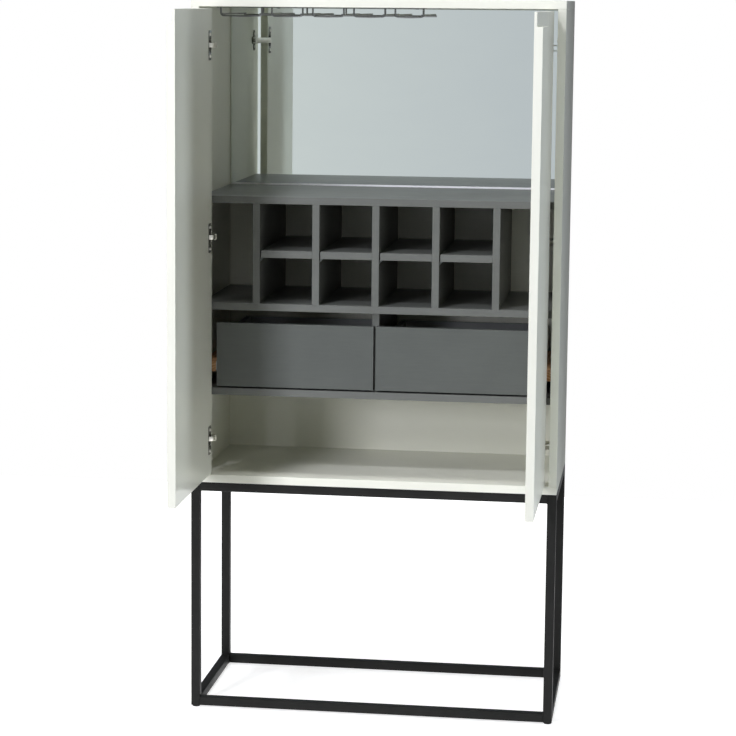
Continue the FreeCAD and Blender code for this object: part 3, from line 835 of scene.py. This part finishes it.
def doorHinges(side, flip):
    # the links, cups and cup screws, which ride on the door's side of the hinge
    size = hingeSizes
    links = bmesh.new()
    for level in size["heights"]:
        link = crankedLink(level)
        append(links, link if flip == 1 else mirroredX(link))
    name = side + "_hinge_links"
    asPiece(name + "_bent", links, bodyOf[name], slotOf[name], [name], smooth=35)
    cups = easedNode(side + "_hinge_cups", "_eased", size["ease"] * mm, sharp=40, smooth=30)
    # the cups take the darker nickel copy, which is painted shade
    cups.data.materials[0] = shadedPlateNickel
    name = side + "_cup_screws"
    places = [
        (Vector((flip * size["cupFace"], size["cupScrewY"], level + turn * size["cupScrews"])) * mm,
         (flip, 0, 0), 1.0)
        for level in size["heights"] for turn in (-1, 1)
    ]
    screws(name + "_crossed", places, bodyOf[name], slotOf[name], [name])


def wallHinges():
    # the arms and plates on the cabinet's sides, and their screws
    size = hingeSizes
    easedNode("hinge_arms", "_eased", size["ease"] * mm, sharp=35, smooth=30)
    plates = easedNode("hinge_plates", "_eased", size["ease"] * mm, sharp=35, smooth=30)
    # the plates take the darker nickel copy, which is painted shade
    plates.data.materials[0] = shadedPlateNickel
    (nearX, nearY), (farX, farY) = size["web"]
    foot = size["wall"] + size["plateThick"]
    lean = Vector((farY - nearY, nearX - farX, 0)).normalized()
    plateScrews, webScrews = [], []
    for flip in (1, -1):
        for level in size["heights"]:
            for turn in (-1, 1):
                height = level + turn * size["plateScrews"]
                seat = Vector((flip * foot, size["plateScrewY"], height))
                plateScrews.append((seat * mm, (flip, 0, 0), 1.0))
            for reach in size["webScrews"]:
                share = (reach - nearY) / (farY - nearY)
                x = foot + nearX + (farX - nearX) * share
                seat = Vector((flip * x, size["front"] + reach, level))
                webScrews.append((seat * mm, (flip * lean.x, lean.y, 0), size["webScrewScale"]))
    name = "plate_screws"
    screws(name + "_crossed", plateScrews, bodyOf[name], slotOf[name], [name])
    screws("arm_screws", webScrews, bodyOf["hinge_arms"], "bright_nickel")


for side, flip in (("left", 1), ("right", -1)):
    doorHinges(side, flip)
wallHinges()
print("hinges made")


# Runners, shelf supports and leg plugs: the sheet and die-cast parts with softened edges
fittings = {
    "cabinet_runners": 0.18, "left_drawer_runners": 0.18, "right_drawer_runners": 0.18,
    "shelf_supports": 0.9, "leg_plugs": 0.4,
}
for name, ease in fittings.items():
    easedNode(name, "_eased", ease * mm, sharp=40, smooth=30)


# Screws that hold the back panel in its rebate
backScrews = {"columns": 4, "rows": 6, "inset": 12.0 * mm, "scale": 0.95}


def panelScrews():
    low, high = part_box("back_panel")
    size = backScrews
    edge = size["inset"]
    seats = []
    for row in range(size["rows"]):
        z = low.z + edge + (high.z - low.z - 2 * edge) * row / (size["rows"] - 1)
        seats += [(low.x + edge, z), (high.x - edge, z)]
    for column in range(1, size["columns"] - 1):
        x = low.x + edge + (high.x - low.x - 2 * edge) * column / (size["columns"] - 1)
        seats += [(x, low.z + edge), (x, high.z - edge)]
    places = [(Vector((x, high.y, z)), (0, 1, 0), size["scale"]) for x, z in seats]
    screws("back_panel_screws", places, bodyOf["back_panel"], "zinc_plated")


panelScrews()
print("fittings made")


# Stage: a pale floor that glows to the eye and in reflections, more so away from the cabinet
stageLook = {
    "floorReach": 2.5, "squares": 8, "floorColour": (0.66, 0.66, 0.64), "floorGlow": 0.68,
    "glowFrom": 0.6, "glowTo": 1.9,
}


def floor():
    paint = Paint("stageFloor")
    seen = paint.ray("Is Camera Ray")
    for kind in ("Is Glossy Ray", "Is Transmission Ray"):
        seen = seen.largest(paint.ray(kind))
    own = paint.node("ShaderNodeTexCoord", output="Object")
    away = paint.node("ShaderNodeVectorMath", {"operation": "LENGTH"}, {0: own}, output="Value")
    near = 1 - paint.span(away, stageLook["glowFrom"], stageLook["glowTo"], 0, 1)
    matt = paint.node("ShaderNodeBsdfDiffuse", {}, {"Color": stageLook["floorColour"]})
    glow = paint.node("ShaderNodeEmission", {}, {
        "Color": (1, 1, 1), "Strength": seen * (1 - near * (1 - stageLook["floorGlow"])),
    })
    shader = paint.node("ShaderNodeAddShader", {}, {0: matt, 1: glow})
    paint.node("ShaderNodeOutputMaterial", {}, {"Surface": shader})
    shape = bmesh.new()
    squares, reach = stageLook["squares"], stageLook["floorReach"]
    bmesh.ops.create_grid(shape, x_segments=squares, y_segments=squares, size=reach)
    mesh = bpy.data.meshes.new("stageFloor")
    shape.to_mesh(mesh)
    shape.free()
    mesh.materials.append(paint.material)
    ground = bpy.data.objects.new("stageFloor", mesh)
    bpy.context.scene.collection.objects.link(ground)


# Surround: white to the eye, a graded pale grey room in reflections, and plain light for matt
# surfaces. The edges are the sines between which one part turns to the next.
surround = {
    "white": (1, 1, 1), "behind": (0.15, 0.163, 0.18), "beside": (0.06, 0.062, 0.064),
    "frontLeft": (0.640, 0.665, 0.663), "frontRight": (0.556, 0.580, 0.599),
    "above": (0.074, 0.076, 0.070), "below": (0.225, 0.228, 0.207),
    "horizonEdge": (-0.05, 0.12), "besideEdge": (0.35, 0.8), "frontEdge": (-0.16, -0.066),
    "behindEdge": (-0.5, 0.2), "upwardEdge": (-0.02, 0.03),
}


def world():
    sky = bpy.data.worlds.new("studio")
    sky.use_nodes = True
    bpy.context.scene.world = sky
    paint = Paint("studio", world=sky)
    way = paint.node("ShaderNodeTexCoord", output="Generated")
    aside, depth, height = (
        paint.node("ShaderNodeSeparateXYZ", {}, {0: way}, output=axis) for axis in "XYZ"
    )

    def turning(value, edge, first, second):
        return paint.blotched(value, *surround[edge], (first, second))

    lit = turning(height, "horizonEdge", surround["below"], surround["above"])
    lit = turning(abs(aside), "besideEdge", lit, surround["beside"])
    front = turning(aside, "frontEdge", surround["frontLeft"], surround["frontRight"])
    mirrored = turning(depth, "behindEdge", front, surround["behind"])
    # the room shows in first reflections, and above the horizon in later ones too, but the mirror
    # passes plain light on to matt surfaces
    first = paint.ray("Glossy Depth") < 1.5
    upward = paint.span(height, *surround["upwardEdge"], 0, 1)
    glossy = paint.ray("Is Glossy Ray") * (paint.ray("Diffuse Depth") < 0.5) * first.largest(upward)
    seen = paint.ray("Is Camera Ray").largest(paint.ray("Is Transmission Ray"))
    shade = paint.mixed(seen, paint.mixed(glossy, lit, mirrored), surround["white"])
    shader = paint.node("ShaderNodeBackground", {}, {"Color": shade, "Strength": 1.0})
    paint.node("ShaderNodeOutputWorld", {}, {"Surface": shader})


# Soft lamps. A bearing is in degrees from straight ahead, seen from the cabinet, and away is
# along it; level is about what white paint facing the lamp at its target renders at.
keyTarget = (0, 0, 1.05)
keyColour = (0.98, 0.99, 1.12)
lamps = {
    "lowKeyLamp": {
        "bearing": -22.4, "away": 4.6, "height": 1.45, "size": (0.75, 1.1), "level": 0.34,
    },
    "keyLamp": {
        "bearing": -22.7, "away": 4.2, "height": 2.75, "size": (0.7, 0.8), "level": 0.19,
    },
    "highKeyLamp": {
        "bearing": -23.6, "away": 3.2, "height": 4.4, "size": (0.5, 0.5), "level": 0.37,
    },
    "fillLamp": {
        "place": (0.1, -5.2, 2.8), "target": (0, 0, 1.1), "size": (0.4, 2.6), "level": 0.03,
        "colour": (0.97, 0.985, 1.05),
    },
    "sideLamp": {
        "place": (1.9, -0.66, 1.05), "target": (0, -0.22, 1.05), "size": (0.24, 2.2),
        "level": 0.062, "colour": (0.90, 0.98, 1.13), "spread": 48,
    },
    "topLamp": {
        "place": (0, -0.2, 4.4), "target": (0, 0, 1.1), "size": (2.2, 2.2), "level": 0.08,
        "colour": (0.97, 0.985, 1.04), "spread": 30,
    },
    "rearLamp": {
        "place": (0.4, 5.0, 2.2), "target": (0, 0, 1.0), "size": (2.4, 2.4), "level": 0.42,
        "colour": (0.97, 0.985, 1.04),
    },
}


def lamp(name, look):
    if "bearing" in look:
        bearing, away = math.radians(look["bearing"]), look["away"]
        place = Vector((away * math.sin(bearing), -away * math.cos(bearing), look["height"]))
    else:
        place = Vector(look["place"])
    ahead = Vector(look.get("target", keyTarget)) - place
    data = bpy.data.lights.new(name, "AREA")
    data.shape = "RECTANGLE"
    data.size, data.size_y = look["size"]
    data.energy = look["level"] * (math.pi * ahead.length) ** 2
    data.color = look.get("colour", keyColour)
    if "spread" in look:
        data.spread = math.radians(look["spread"])
    light = bpy.data.objects.new(name, data)
    bpy.context.scene.collection.objects.link(light)
    light.location = place
    light.rotation_euler = ahead.to_track_quat("-Z", "Y").to_euler()
    light.visible_glossy = False
    light.visible_camera = False


for name, look in lamps.items():
    lamp(name, look)
floor()
world()


# Camera, fitted to the photograph: 736 pixels square, the cabinet's lines measured in it
photoView = {
    "pixels": 736, "focal": 2399.6, "centreX": 330.0, "centreY": 335.0,
    "place": (0.6684, -5.2023, 1.5987), "yaw": -0.14603, "pitch": -0.13885, "roll": 0.00766,
}


def camera():
    view = photoView
    yaw, pitch, roll = view["yaw"], view["pitch"], view["roll"]
    ahead = Vector((
        math.cos(pitch) * math.sin(yaw), math.cos(pitch) * math.cos(yaw), math.sin(pitch),
    ))
    level = Vector((math.cos(yaw), -math.sin(yaw), 0))
    upward = level.cross(ahead)
    right = level * math.cos(roll) + upward * math.sin(roll)
    up = upward * math.cos(roll) - level * math.sin(roll)
    data = bpy.data.cameras.new("photoCamera")
    data.sensor_width = 36
    data.lens = view["focal"] / view["pixels"] * data.sensor_width
    data.shift_x = (view["pixels"] / 2 - view["centreX"]) / view["pixels"]
    data.shift_y = (view["centreY"] - view["pixels"] / 2) / view["pixels"]
    data.clip_end = 60
    eye = bpy.data.objects.new("photoCamera", data)
    bpy.context.scene.collection.objects.link(eye)
    turn = Matrix((right, up, -ahead)).transposed().to_4x4()
    eye.matrix_world = Matrix.Translation(view["place"]) @ turn
    bpy.context.scene.camera = eye


camera()
bpy.context.scene.view_settings.view_transform = "Standard"
print("stage set")
